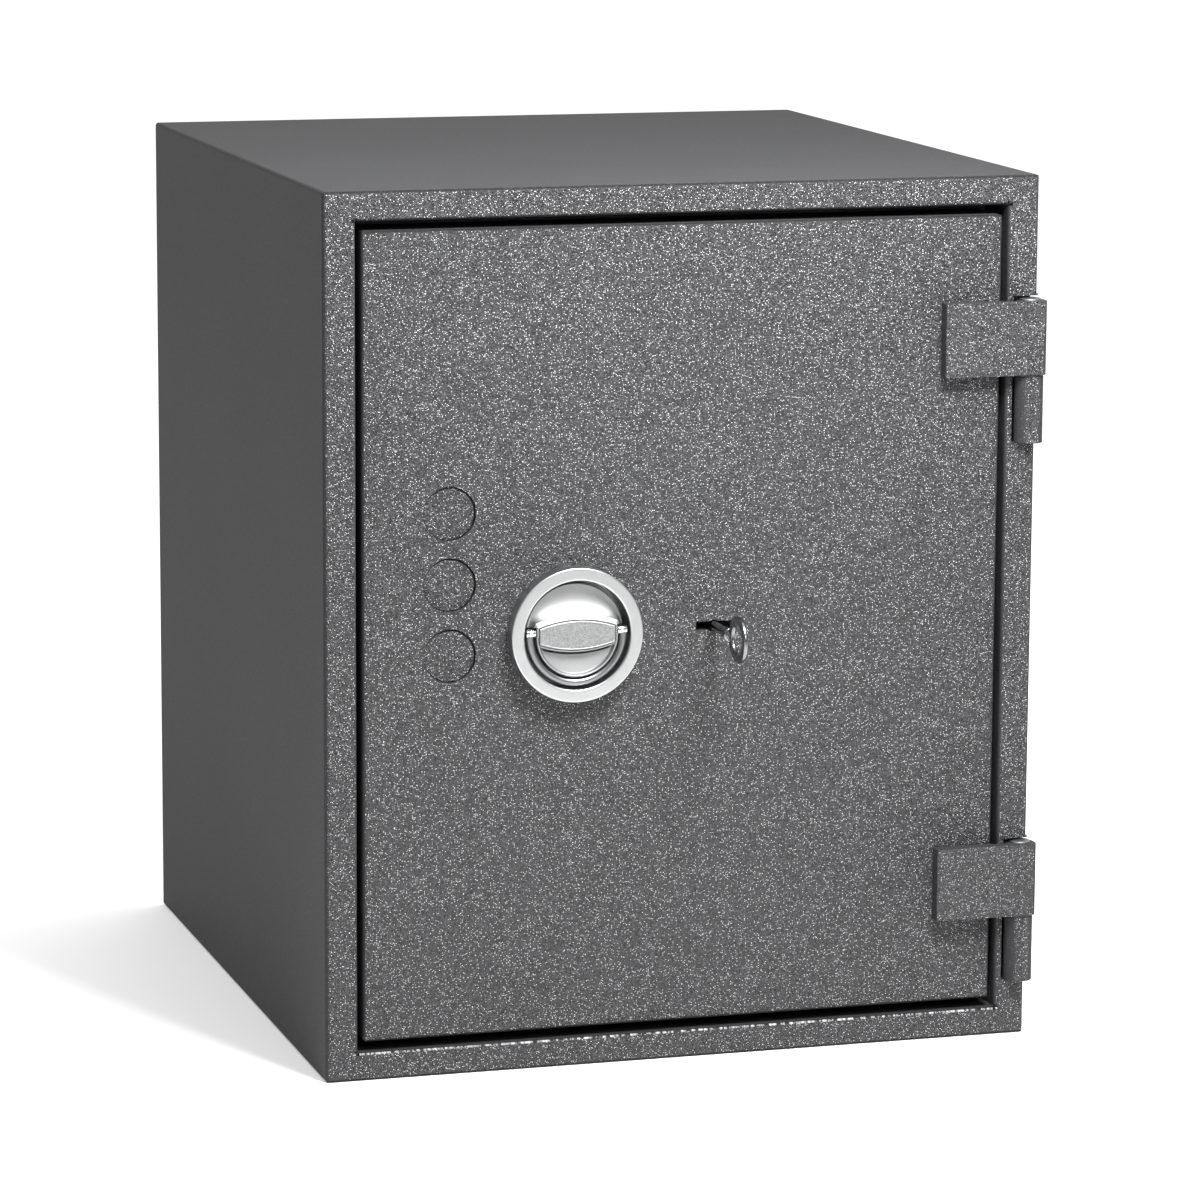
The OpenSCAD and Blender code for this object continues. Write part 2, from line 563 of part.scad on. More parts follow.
// ---------- main boltwork ----------
module bolt_carrier() color([0.66, 0.67, 0.62]) front() difference() {
  box(car_x - 6, car_x, 44.5, 82, 108, 492);
  for (z = bolt_z) cyl_x(bolt_d, z, 4, car_x - 7, car_x + 1, 32);
}
module lock_bolts() color([0.78, 0.79, 0.80]) front() for (z = bolt_z) difference() {
  union() {
    cyl_x(bolt_d, z, bolt_r, cov_x0 + 2.5, car_x - 6);
    translate([cov_x0 + 1, bolt_d, z]) rotate([0, 90, 0]) cylinder(r1 = bolt_r - 1.5, r2 = bolt_r, h = 1.5);
  }
  cyl_x(bolt_d, z, 4, car_x - 26, car_x, 32);
}
module carrier_screws() color([0.70, 0.71, 0.72]) front() for (z = bolt_z) {
  cyl_x(bolt_d, z, 4, car_x - 26, car_x, 32);
  translate([car_x, bolt_d, z]) rotate([0, 90, 0]) difference() {
    cylinder(r = 6.5, h = 5, $fn = 32);
    translate([0, 0, 2]) cylinder(r = 3, h = 4, $fn = 6);
  }
}
module rack_bar() color([0.66, 0.67, 0.62]) front() {
  box(car_x, kx + 5 * pitch, 58, 66, mid_z - pr - 15, mid_z - pr - 2.4);
  translate([kx, 66, mid_z - pr]) rotate([90, 0, 0]) linear_extrude(8) rack_teeth(-1, 4);
}
module locking_bar() color([0.66, 0.67, 0.62]) front() difference() {
  box(car_x, 62, 45, 53, 236, 258);
  for (i = [0, 1]) box(lx - 9.6 + i * throw, lx + 9.6 + i * throw, 44, 54, 247, 259);
}
module top_rod() color([0.66, 0.67, 0.62]) front() {
  box(kx - pr - 14.5, kx - pr - 2.4, 70, 78, 258, 512);
  translate([kx - pr, 78, mid_z]) rotate([90, 90, 0]) linear_extrude(8) rack_teeth(-1, 4);
}
module top_bolt() color([0.78, 0.79, 0.80]) front() {
  cyl_z(top_x, rod_d, 10, 512, cov_z1 - 2.5);
  translate([top_x, rod_d, cov_z1 - 2.5]) cylinder(r1 = 10, r2 = 8.5, h = 1.5);
}
module bottom_rod() color([0.66, 0.67, 0.62]) front() {
  box(kx + pr + 2.4, kx + pr + 14.5, 70, 78, 88, 342);
  translate([kx + pr, 78, mid_z]) rotate([90, -90, 0]) linear_extrude(8) rack_teeth(-1, 4);
}
module bottom_bolt() color([0.78, 0.79, 0.80]) front() {
  cyl_z(bot_x, rod_d, 10, cov_z0 + 2.5, 88);
  translate([bot_x, rod_d, cov_z0 + 1]) cylinder(r1 = 8.5, r2 = 10, h = 1.5);
}

// ---------- key lock ----------
module key_curtain() color([0.72, 0.60, 0.33]) front() difference() {
  union() {
    cyl_d(lx, mid_z, 8, mp1 + 0.2, case_d - 0.5, 64);
    cyl_d(lx, mid_z, 4, case_d - 1, case_d + 2, 48);
  }
  box(lx - 12, lx + 12, mp1 - 1, 61, mid_z - 1.9, mid_z + 1.9);
  cyl_d(lx, mid_z, 3.4, mp1 - 1, 61, 48);
}
module bow_plan(r, c) union() {
  translate([-c, 0]) circle(r = r, $fn = 64);
  translate([c, 0]) circle(r = r, $fn = 64);
  square([2 * c, 2 * r], center = true);
}
module key() color([0.72, 0.73, 0.74]) front() {
  cyl_d(lx, mid_z, 3.25, -37, 60.5, 48);
  cyl_d(lx, mid_z, 4.6, -36, -32.5, 48);
  // stepped bits on both sides of the shank
  for (i = [0:4]) box(lx - [11.5, 9.4, 11, 8.6, 11.5][i], lx + [11.5, 10.2, 8.8, 11, 9.8][i],
    48 + i * 2.4, 50.4 + i * 2.4, mid_z - 1.5, mid_z + 1.5);
  // bow, upright
  translate([lx - 1.6, -53, mid_z]) rotate([90, 0, 90]) linear_extrude(3.2) difference() {
    bow_plan(15.6, 1.4);
    bow_plan(9.6, 1.2);
  }
}
module key_lock_bolt() color([0.74, 0.64, 0.38]) front() difference() {
  union() {
    box(lx - 19, lx + 19, 46.3, 52.3, 277, 330);
    box(lx - 9, lx + 9, 46.3, 52.3, 263, 278);
  }
  for (z = [mid_z, mid_z + lock_throw]) cyl_d(lx, z, 12.4, 45, 54, 96);
  box(lx - 12.4, lx + 12.4, 45, 54, mid_z, mid_z + lock_throw);
}
module lever_window() {
  cyl_d(lx, mid_z, 12.6, 50, 70, 96);
  translate([lx, 0, lever_z]) rotate([0, -lever_tilt, 0]) translate([-lx, 0, -lever_z])
    cyl_d(lx, mid_z, 12.6, 50, 70, 96);
}
module levers() color([0.76, 0.66, 0.38]) front() for (i = [0:4]) difference() {
  union() {
    box(lx - 18, lx + 18, 53.2 + i * 2.4, 55 + i * 2.4, 282, 318);
    box(lx - 8, lx + 8, 53.2 + i * 2.4, 55 + i * 2.4, 317, lever_z);
    cyl_d(lx, lever_z, 7, 53.2 + i * 2.4, 55 + i * 2.4, 48);
  }
  lever_window();
  cyl_d(lx, lever_z, 3.06, 50, 70, 32);
}
module lever_springs() color([0.70, 0.71, 0.72]) front() for (i = [0:4])
  box(lx + 8, lx + 24, 53.4 + i * 2.4, 54.8 + i * 2.4, 331, 331.8);

outer_shell();
rear_panel();
wall_infill();
bolt_frame();
inner_liner();
hinge_recesses();
hinge_knuckles();
hinge_pins();
hinge_washers();
shelf();
shelf_pins();
anchor_sleeves();
door_plate();
door_infill();
mounting_plate();
door_cover();
door_seal();
hinge_straps();
blanking_discs();
fixed_dogs();
dog_rail();
bolt_guide_rail();
rod_guides();
bar_guides();
cover_standoffs();
cover_screws();
plate_screws();
handle_housing();
handle_screws();
spindle_bush();
key_tube();
lock_case();
lock_cover();
lock_screws();
lever_post();
handle_rotor();
grip_plate();
bail_pins();
spindle();
pinion();
spindle_clip();
bail();
bolt_carrier();
lock_bolts();
carrier_screws();
rack_bar();
locking_bar();
top_rod();
top_bolt();
bottom_rod();
bottom_bolt();
key_curtain();
key();
key_lock_bolt();
levers();
lever_springs();
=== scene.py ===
import math
import bmesh
import bpy
from mathutils import Matrix, Vector


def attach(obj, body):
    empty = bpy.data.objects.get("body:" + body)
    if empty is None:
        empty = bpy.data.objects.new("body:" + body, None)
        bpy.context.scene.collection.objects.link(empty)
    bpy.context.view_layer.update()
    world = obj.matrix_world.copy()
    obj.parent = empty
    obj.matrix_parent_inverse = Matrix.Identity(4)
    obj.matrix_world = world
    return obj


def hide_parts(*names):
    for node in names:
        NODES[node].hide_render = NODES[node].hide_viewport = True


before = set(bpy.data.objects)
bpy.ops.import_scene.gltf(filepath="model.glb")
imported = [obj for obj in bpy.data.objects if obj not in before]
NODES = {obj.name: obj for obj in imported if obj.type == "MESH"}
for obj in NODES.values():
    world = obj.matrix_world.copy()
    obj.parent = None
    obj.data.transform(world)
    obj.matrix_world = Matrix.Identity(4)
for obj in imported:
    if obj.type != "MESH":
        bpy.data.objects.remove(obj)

for spare in ("Cube", "Light", "Camera"):
    if spare in bpy.data.objects:
        bpy.data.objects.remove(bpy.data.objects[spare])
bpy.context.view_layer.update()
scene = bpy.context.scene
YF = -0.265                       # front plane of the cabinet
KX, KZ = -0.0785, 0.300           # handle axis
LX, LZ = 0.0205, 0.300            # key axis
HX, HY = 0.245, YF + 0.0015       # hinge axis
FACE = YF + 0.001                 # door face
RING = YF - 0.011                 # front of the handle ring
GRIT = 1200                       # cells per metre of the paint's texture
GREY = (0.0310, 0.0310, 0.0330)
SILL = 0.020                      # lower edge of the opening


# ------------------------------------------------------------------ camera
def make_camera():
    az, el, roll = map(math.radians, (-16.64868, 10.26886, 0.29566))
    back = Vector((math.sin(az) * math.cos(el), -math.cos(az) * math.cos(el), math.sin(el)))
    right = Vector((math.cos(az), math.sin(az), 0))
    up = back.cross(right)
    r2 = right * math.cos(roll) + up * math.sin(roll)
    u2 = -right * math.sin(roll) + up * math.cos(roll)
    loc = Vector((0, 0, 0.3)) + back * 3.74771 + right * 0.01842 - up * 0.02727
    m = Matrix(((r2.x, u2.x, back.x, loc.x), (r2.y, u2.y, back.y, loc.y),
                (r2.z, u2.z, back.z, loc.z), (0, 0, 0, 1)))
    data = bpy.data.cameras.new("camera")
    data.sensor_width = 36
    data.lens = 5185.28 / 1200 * 36
    data.clip_start, data.clip_end = 0.05, 200
    cam = bpy.data.objects.new("camera", data)
    scene.collection.objects.link(cam)
    cam.matrix_world = m
    scene.camera = cam


make_camera()


# ------------------------------------------------------------------ node helpers
class Mat:
    def __init__(self, name):
        self.m = bpy.data.materials.new(name)
        self.m.use_nodes = True
        self.t = self.m.node_tree
        self.t.nodes.clear()
        self.out = self.n("ShaderNodeOutputMaterial")
        self.bsdf = self.n("ShaderNodeBsdfPrincipled")
        self.link(self.bsdf, "BSDF", self.out, "Surface")
        self.coord = self.n("ShaderNodeTexCoord")

    def n(self, kind, **kw):
        node = self.t.nodes.new(kind)
        for k, v in kw.items():
            setattr(node, k, v)
        return node

    def link(self, a, ao, b, bi):
        self.t.links.new(a.outputs[ao], b.inputs[bi])

    def put(self, value, b, bi):
        if hasattr(value, "links") or isinstance(value, bpy.types.NodeSocket):
            self.t.links.new(value, b.inputs[bi])
        else:
            b.inputs[bi].default_value = value

    def mapping(self, scale=(1, 1, 1), rot=(0, 0, 0), src=None):
        mp = self.n("ShaderNodeMapping")
        mp.inputs["Scale"].default_value = scale
        mp.inputs["Rotation"].default_value = rot
        self.t.links.new(src or self.coord.outputs["Object"], mp.inputs["Vector"])
        return mp.outputs["Vector"]

    def noise(self, scale, detail=2.0, rough=0.5, vec=None, dist=0.0):
        x = self.n("ShaderNodeTexNoise")
        x.inputs["Scale"].default_value = scale
        x.inputs["Detail"].default_value = detail
        x.inputs["Roughness"].default_value = rough
        x.inputs["Distortion"].default_value = dist
        self.t.links.new(vec or self.coord.outputs["Object"], x.inputs["Vector"])
        return x.outputs["Fac"]

    def voronoi(self, scale, feature="F1", vec=None, rand=1.0):
        x = self.n("ShaderNodeTexVoronoi", feature=feature)
        x.inputs["Scale"].default_value = scale
        x.inputs["Randomness"].default_value = rand
        self.t.links.new(vec or self.coord.outputs["Object"], x.inputs["Vector"])
        return x

    def ramp(self, fac, stops, interp="LINEAR"):
        r = self.n("ShaderNodeValToRGB")
        r.color_ramp.interpolation = interp
        while len(r.color_ramp.elements) < len(stops):
            r.color_ramp.elements.new(0.5)
        for e, (p, c) in zip(r.color_ramp.elements, stops):
            e.position = p
            e.color = (*c, 1) if hasattr(c, "__len__") else (c, c, c, 1)
        self.t.links.new(fac, r.inputs["Fac"])
        return r.outputs["Color"]

    def mapr(self, v, a, b, c, d, clamp=True):
        r = self.n("ShaderNodeMapRange", clamp=clamp)
        self.put(v, r, "Value")
        r.inputs["From Min"].default_value = a
        r.inputs["From Max"].default_value = b
        r.inputs["To Min"].default_value = c
        r.inputs["To Max"].default_value = d
        return r.outputs["Result"]

    def math(self, op, a, b=0.0):
        x = self.n("ShaderNodeMath", operation=op)
        for i, v in enumerate((a, b)):
            if isinstance(v, bpy.types.NodeSocket):
                self.t.links.new(v, x.inputs[i])
            else:
                x.inputs[i].default_value = v
        return x.outputs[0]

    def mix(self, fac, a, b, blend="MIX"):
        x = self.n("ShaderNodeMix", data_type="RGBA", blend_type=blend)
        for i, v in ((0, fac), (6, a), (7, b)):
            if isinstance(v, bpy.types.NodeSocket):
                self.t.links.new(v, x.inputs[i])
            elif i == 0:
                x.inputs[i].default_value = v
            else:
                x.inputs[i].default_value = (*v, 1) if hasattr(v, "__len__") else (v, v, v, 1)
        return x.outputs[2]

    def bump(self, height, strength, dist, normal=None):
        b = self.n("ShaderNodeBump")
        b.inputs["Distance"].default_value = dist
        self.put(strength, b, "Strength")
        self.t.links.new(height, b.inputs["Height"])
        if normal is not None:
            self.t.links.new(normal, b.inputs["Normal"])
        return b.outputs["Normal"]

    def bevel(self, r, samples=4):
        b = self.n("ShaderNodeBevel", samples=samples)
        b.inputs["Radius"].default_value = r
        return b.outputs["Normal"]

    def normal_xyz(self):
        g = self.n("ShaderNodeNewGeometry")
        s = self.n("ShaderNodeSeparateXYZ")
        # the normal in the object's own space, so it turns with the door
        v = self.n("ShaderNodeVectorTransform", vector_type="NORMAL", convert_from="WORLD", convert_to="OBJECT")
        self.t.links.new(g.outputs["True Normal"], v.inputs[0])
        self.t.links.new(v.outputs[0], s.inputs[0])
        return s.outputs

    def set(self, **kw):
        names = {"color": "Base Color", "rough": "Roughness", "metal": "Metallic", "normal": "Normal",
                 "coat": "Coat Weight", "coat_rough": "Coat Roughness", "spec": "Specular IOR Level",
                 "aniso": "Anisotropic", "aniso_rot": "Anisotropic Rotation", "tangent": "Tangent", "ior": "IOR"}
        for k, v in kw.items():
            if k == "color" and not isinstance(v, bpy.types.NodeSocket):
                v = (*v, 1) if hasattr(v, "__len__") else (v, v, v, 1)
            self.put(v, self.bsdf, names[k])
        return self


# ------------------------------------------------------------------ materials
def paint(name, tone=1.0, grain=1.0, sill=False):
    """Structured graphite powder coat: a fine gritty relief on the flat front faces, with glossy crowns painted bright
    (painted glints) and dark pits (painted shade);
    the side and top faces are coloured darker than the front, and the rounded front rims darker still (painted shade);
    the relief lies smooth on the rounded edges and on the long sheets."""
    a = Mat(name)
    vec = a.mapping((1, 1, 1))
    cell = a.voronoi(GRIT * 1.45, vec=vec)
    rnd = a.n("ShaderNodeSeparateColor")
    a.link(cell, "Color", rnd, "Color")
    r1 = rnd.outputs[0]
    # painted glints: sparse cells of this pattern are painted as bright dots
    glint_cell = a.voronoi(GRIT * 0.80, vec=vec)
    rnd2 = a.n("ShaderNodeSeparateColor")
    a.link(glint_cell, "Color", rnd2, "Color")
    lit = a.mapr(rnd2.outputs[0], 0.60, 0.68, 0.0, 1.0)
    power = a.mapr(rnd2.outputs[1], 0.0, 1.0, 0.35, 1.0)
    dist = glint_cell.outputs["Distance"]
    mid = a.noise(GRIT * 0.8, 1.0, 0.5, vec)
    fine = a.noise(GRIT * 2.0, 1.0, 0.5, vec)
    nx = a.normal_xyz()
    front = a.mapr(a.math("MULTIPLY", nx[1], -1.0), 0.82, 0.97, 0.0, 1.0)
    flat = a.math("MAXIMUM", a.math("ABSOLUTE", nx[0]), a.math("MAXIMUM", a.math("ABSOLUTE", nx[1]), a.math("ABSOLUTE", nx[2])))
    # painted shade: mask of the rounded rims between the front and the top or bottom, where the colour is darkened
    painted_edge_shade = a.mapr(flat, 0.86, 0.98, 1.0, 0.0)
    level = a.math("MULTIPLY", a.mapr(a.math("ABSOLUTE", nx[1]), 0.05, 0.20, 0.0, 1.0),
                   a.mapr(a.math("ABSOLUTE", nx[2]), 0.05, 0.20, 0.0, 1.0))
    painted_edge_shade = a.math("MULTIPLY", painted_edge_shade, level)
    amount = a.math("ADD", a.math("MULTIPLY", front, 0.92), 0.08)
    h = a.math("ADD", a.math("MULTIPLY", mid, 0.9), a.math("MULTIPLY", fine, 0.25))
    h = a.math("ADD", h, a.math("MULTIPLY", a.mapr(dist, 0.0, 0.5, 1.0, 0.0), 0.25))
    cloud = a.noise(5, 3.0, 0.55, vec)
    base = a.mix(a.mapr(cloud, 0.35, 0.65, 0, 1), tuple(c * 0.95 * tone for c in GREY), tuple(c * 1.05 * tone for c in GREY))
    # painted shade: faces that do not face the front (side and top) get a colour 0.74 times as dark as the front faces
    base = a.mix(front, a.mix(1.0, base, 0.74, "MULTIPLY"), base)
    # painted shade on the rounded front rims: their colour is darkened to 0.28
    base = a.mix(painted_edge_shade, base, a.mix(1.0, base, 0.28, "MULTIPLY"))
    # per-cell tone of the grain on the front faces only: partly the coat's own random tone, partly painted glints and
    # shade of the relief where the lamp lights it
    shade = a.mix(front, 1.0, a.mapr(r1, 0.0, 1.0, 0.25, 1.75))
    col = a.mix(1.0, base, shade, "MULTIPLY")
    # painted shade: colour darkened where the relief is low and in rings round the glint dots
    painted_pit_shade = a.math("MULTIPLY", a.mapr(mid, 0.34, 0.46, 0.25, 1.0), a.mapr(dist, 0.36, 0.62, 0.72, 1.0))
    col = a.mix(amount, col, a.mix(1.0, col, painted_pit_shade, "MULTIPLY"))
    # painted highlight: bright dots in the colour of the front faces, standing in for the glints of the relief
    painted_glint = a.math("MULTIPLY", a.math("MULTIPLY", a.mapr(dist, 0.20, 0.38, 1.0, 0.0), lit), a.math("MULTIPLY", amount, power))
    col = a.mix(painted_glint, col, (0.74, 0.745, 0.75))
    if sill:
        # the opening's lower rim gets a painted highlight: a thin bright line, broken up by noise
        sp = a.n("ShaderNodeSeparateXYZ")
        a.link(a.coord, "Object", sp, "Vector")
        z, y, x = sp.outputs[2], sp.outputs[1], sp.outputs[0]
        painted_sill_highlight = a.math("MULTIPLY", a.mapr(z, SILL - 0.0022, SILL - 0.0018, 0, 1), a.mapr(z, SILL - 0.0009, SILL - 0.0005, 1, 0))
        painted_sill_highlight = a.math("MULTIPLY", painted_sill_highlight, a.math("MULTIPLY", a.mapr(y, YF + 0.004, YF + 0.005, 1, 0), a.mapr(nx[2], 0.1, 0.3, 0, 1)))
        sill_highlight_breakup = a.mapr(a.noise(420, 2.0, 0.6, a.mapping((1, 0.2, 0.2))), 0.42, 0.62, 0.0, 1.0)
        col = a.mix(a.math("MULTIPLY", a.math("MULTIPLY", painted_sill_highlight, sill_highlight_breakup), 0.6), col, (0.62, 0.625, 0.63))
    rough = a.mapr(front, 0.0, 1.0, 0.62, 0.30)
    rough = a.math("SUBTRACT", rough, a.math("MULTIPLY", painted_glint, 0.16))
    nrm = a.bump(h, a.mapr(front, 0.0, 1.0, 0.05, 1.0 * grain), 0.0022, a.bevel(0.0006))
    a.set(color=col, rough=rough, spec=a.mapr(front, 0.0, 1.0, 0.12, 0.36), normal=nrm)
    return a.m


def smooth_paint(name, color, seed=0):
    a = Mat(name)
    peel = a.noise(260, 3.0, 0.5)
    cloud = a.noise(6, 3.0, 0.5)
    c2 = tuple(c * 0.93 for c in color)
    a.set(color=a.mix(a.mapr(cloud, 0.35, 0.65, 0, 1), color, c2), rough=a.mapr(peel, 0.3, 0.7, 0.38, 0.5),
          normal=a.bump(peel, 0.25, 0.0002, a.bevel(0.0005)))
    return a.m


def brushed(name, color, rough=0.3, scale=(40, 2500, 2500), strength=0.15, metal=1.0):
    a = Mat(name)
    lines = a.noise(1.0, 3.0, 0.6, a.mapping(scale))
    cloud = a.noise(30, 3.0, 0.6)
    c2 = tuple(c * 0.82 for c in color)
    a.set(color=a.mix(a.mapr(cloud, 0.35, 0.7, 0, 1), color, c2), metal=metal,
          rough=a.mapr(lines, 0.25, 0.75, rough - 0.07, rough + 0.1),
          normal=a.bump(lines, strength, 0.00008, a.bevel(0.0004)))
    return a.m


def satin(name, color, rough=0.3):
    """Satin nickel on a die casting: very fine blasted grain under plating."""
    a = Mat(name)
    g = a.noise(3800, 2.0, 0.6)
    cloud = a.noise(60, 3.0, 0.55)
    a.set(color=a.mix(a.mapr(cloud, 0.35, 0.68, 0, 1), color, tuple(c * 0.94 for c in color)), metal=1.0,
          rough=a.mapr(a.math("ADD", a.math("MULTIPLY", g, 0.6), a.math("MULTIPLY", cloud, 0.4)), 0.3, 0.7, rough - 0.05, rough + 0.07),
          normal=a.bump(g, 0.10, 0.00005, a.bevel(0.00025)))
    return a.m


def grained(name, color):
    """Coarse blasted face of the grip plate."""
    a = Mat(name)
    g = a.noise(1500, 2.0, 0.7)
    cell = a.voronoi(1300)
    rnd = a.n("ShaderNodeSeparateColor")
    a.link(cell, "Color", rnd, "Color")
    h = a.math("ADD", g, a.math("MULTIPLY", rnd.outputs[0], 0.35))
    a.set(color=a.mix(a.mapr(h, 0.40, 0.90, 0, 1), tuple(c * 0.66 for c in color), tuple(min(1, c * 1.25) for c in color)), metal=1.0,
          rough=a.mapr(g, 0.3, 0.7, 0.34, 0.50), normal=a.bump(h, 0.6, 0.00022, a.bevel(0.0003)))
    return a.m


def chrome(name, color, rough=0.08):
    a = Mat(name)
    s = a.noise(900, 2.0, 0.6, a.mapping((1, 1, 3)))
    w = a.noise(40, 2.0, 0.5)
    a.set(color=a.mix(a.mapr(w, 0.4, 0.7, 0, 1), color, tuple(c * 0.93 for c in color)), metal=1.0,
          rough=a.mapr(s, 0.3, 0.75, rough, rough + 0.07), normal=a.bump(s, 0.05, 0.00004, a.bevel(0.0002)))
    return a.m


def concrete(name):
    a = Mat(name)
    n1, n2 = a.noise(60, 6, 0.65), a.noise(500, 4, 0.7)
    a.set(color=a.ramp(n1, [(0.3, (0.30, 0.295, 0.28)), (0.7, (0.46, 0.45, 0.43))]), rough=0.9,
          normal=a.bump(a.math("ADD", n1, n2), 0.5, 0.0006))
    return a.m


def rubber(name):
    a = Mat(name)
    n1 = a.noise(800, 3, 0.6)
    a.set(color=a.mix(a.mapr(n1, 0.3, 0.7, 0, 1), (0.020, 0.020, 0.021), (0.034, 0.034, 0.035)),
          rough=a.mapr(n1, 0.3, 0.7, 0.6, 0.8), normal=a.bump(n1, 0.3, 0.0002))
    return a.m


M = {
    "body": paint("body_paint_m", 1.0, 1.0, True),
    "door": paint("door_paint_m", 1.0, 1.0),
    "frame": smooth_paint("frame_paint_m", (0.045, 0.047, 0.050)),
    "inner": smooth_paint("inner_paint_m", (0.40, 0.41, 0.42)),
    "concrete": concrete("concrete_m"),
    "zinc": brushed("zinc_plate_m", (0.60, 0.60, 0.55), 0.34, (60, 900, 900), 0.2),
    "turned": brushed("turned_steel_m", (0.66, 0.66, 0.67), 0.22, (3000, 60, 60), 0.15),
    "screw": brushed("screw_steel_m", (0.60, 0.61, 0.62), 0.25, (1500, 1500, 1500), 0.12),
    "brass": brushed("brass_m", (0.70, 0.52, 0.24), 0.26, (50, 1600, 1600), 0.15),
    "lock": brushed("lock_metal_m", (0.50, 0.48, 0.42), 0.42, (300, 300, 300), 0.25),
    "ring": satin("ring_metal_m", (0.44, 0.443, 0.446), 0.30),
    "rotor": satin("rotor_metal_m", (0.262, 0.264, 0.266), 0.52),
    "grip": grained("grip_metal_m", (0.265, 0.267, 0.269)),
    "chrome": chrome("chrome_m", (0.62, 0.625, 0.63), 0.10),
    "bail": chrome("bail_m", (0.19, 0.193, 0.197), 0.30),
    "pin": brushed("pin_steel_m", (0.20, 0.203, 0.207), 0.48, (900, 900, 900), 0.2),
    # the washers' near-black colour is painted shade of the narrow gap between strap and knuckle
    "washer": brushed("washer_m", (0.05, 0.051, 0.053), 0.45, (900, 900, 900), 0.2),
    "key": chrome("key_steel_m", (0.20, 0.203, 0.207), 0.16),
    "rubber": rubber("seal_rubber_m"),
}
SLOT = {"body_paint": "body", "frame_paint": "frame", "door_paint": "door", "inner_paint": "inner",
        "concrete": "concrete", "zinc_plate": "zinc", "turned_steel": "turned", "screw_steel": "screw",
        "brass": "brass", "lock_metal": "lock", "ring_metal": "ring", "rotor_metal": "rotor",
        "grip_metal": "grip", "chrome": "chrome", "key_steel": "key", "seal_rubber": "rubber"}
for name, ob in NODES.items():
    for i, s in enumerate(ob.material_slots):
        s.material = M[SLOT[s.material.name.split(".")[0]]]


# near-black washers: painted shade of the narrow gap between strap and knuckle
for s in NODES["hinge_washers"].material_slots:
    s.material = M["washer"]


# ------------------------------------------------------------------ meshes
MM = 0.001


def obj_from(bm, name, mats, smooth=True, angle=None):
    bmesh.ops.recalc_face_normals(bm, faces=bm.faces)
    me = bpy.data.meshes.new(name)
    bm.to_mesh(me)
    bm.free()
    for m in mats:
        me.materials.append(m)
    for p in me.polygons:
        p.use_smooth = smooth
    ob = bpy.data.objects.new(name, me)
    scene.collection.objects.link(ob)
    if angle is not None:
        # crisp edges above this angle
        bm2 = bmesh.new()
        bm2.from_mesh(me)
        for e in bm2.edges:
            if len(e.link_faces) == 2 and e.calc_face_angle(0) > math.radians(angle):
                e.smooth = False
        bm2.to_mesh(me)
        bm2.free()
    return ob


def loft(bm, rings, close_u=True, close_v=False, cap=False, mat=0, mats=None):
    """Faces between rings of points; close_u joins each ring's end to its start, close_v the last ring to the first."""
    vs = [[bm.verts.new(p) for p in r] for r in rings]
    n = len(vs[0])
    rows = list(zip(vs, vs[1:])) + ([(vs[-1], vs[0])] if close_v else [])
    for k, (a, b) in enumerate(rows):
        for i in range(n if close_u else n - 1):
            j = (i + 1) % n
            f = bm.faces.new((a[i], a[j], b[j], b[i]))
            f.material_index = mats[k] if mats else mat
    if cap:
        for r in (vs[0], vs[-1]):
            f = bm.faces.new(r)
            f.material_index = mat
    return vs


def front_pt(cx, cz, u, v, d):
    """u right, v up from (cx, cz), d = depth behind the front plane in mm."""
    return (cx + u * MM, YF + d * MM, cz + v * MM)


def arc(cx, cy, r, a0, a1, n):
    return [(cx + r * math.cos(math.radians(a0 + (a1 - a0) * i / n)),
             cy + r * math.sin(math.radians(a0 + (a1 - a0) * i / n))) for i in range(n + 1)]


def lathe(bm, cx, cz, prof, n=192, a0=0.0, a1=360.0, mat=0, mats=None):
    """prof: (radius, depth) points; a closed turn, or a sector with end caps."""
    full = abs(a1 - a0) >= 360
    m = n if full else n + 1
    rings = []
    for r, d in prof:
        rings.append([front_pt(cx, cz, r * math.cos(math.radians(a0 + (a1 - a0) * i / n)),
                               r * math.sin(math.radians(a0 + (a1 - a0) * i / n)), d) for i in range(m)])
    vs = loft(bm, rings, close_u=full, close_v=True, mat=mat, mats=mats)
    if not full:
        for i in (0, -1):
            bm.faces.new([r[i] for r in vs]).material_index = mat
    return vs


# ---- ring of the flush handle
def make_housing():
    bm = bmesh.new()
    prof = [(37.0, 10.0)]
    prof += arc(38.2, -9.8, 1.2, 180, 270, 8)[0:]
    prof += [(39.0, -11.0), (41.4, -11.0), (43.8, -11.0)]
    prof += arc(44.75, -10.0, 1.0, -90, 0, 8)
    prof += [(45.75, 1.0), (39.1, 1.0), (39.1, 13.0), (6.06, 13.0), (6.06, 10.0)]
    lathe(bm, KX, KZ, prof, 256)
    ob = obj_from(bm, "handle_ring", [M["ring"]], angle=35)
    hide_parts("handle_housing")
    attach(ob, "door")


HX2, HEND, HMID = 28.0, 6.5, 11.5
LR = (HX2 ** 2 + (HMID - HEND) ** 2) / (2 * (HMID - HEND))


def lens_v(u):
    return math.sqrt(LR * LR - u * u) - (LR - HMID)


def lens_outline(g, n=48, m=10):
    """Outline of the grip bar moved in by g, going round from the right end's lower corner."""
    hx = HX2 - g
    r = LR - g
    c = LR - HMID
    top = [(hx * math.cos(math.pi * i / n), 0) for i in range(n + 1)]
    top = [(u, math.sqrt(r * r - u * u) - c) for u, _ in top]
    bot = [(-u, -v) for u, v in top]
    pts = []
    # right end from lower to upper
    v1 = top[0][1]
    for i in range(1, m):
        pts.append((hx, -v1 + 2 * v1 * i / m))
    pts += top
    for i in range(1, m):
        pts.append((-hx, v1 - 2 * v1 * i / m))
    pts += bot
    return pts


def stack(bm, cx, cz, levels, mats=None, mat=0, outline=lens_outline):
    """Closed block from outlines at several depths; levels: (inset, depth)."""
    rings = [[front_pt(cx, cz, u, v, d) for u, v in outline(g)] for g, d in levels]
    loft(bm, rings, cap=True, mat=mat, mats=mats)


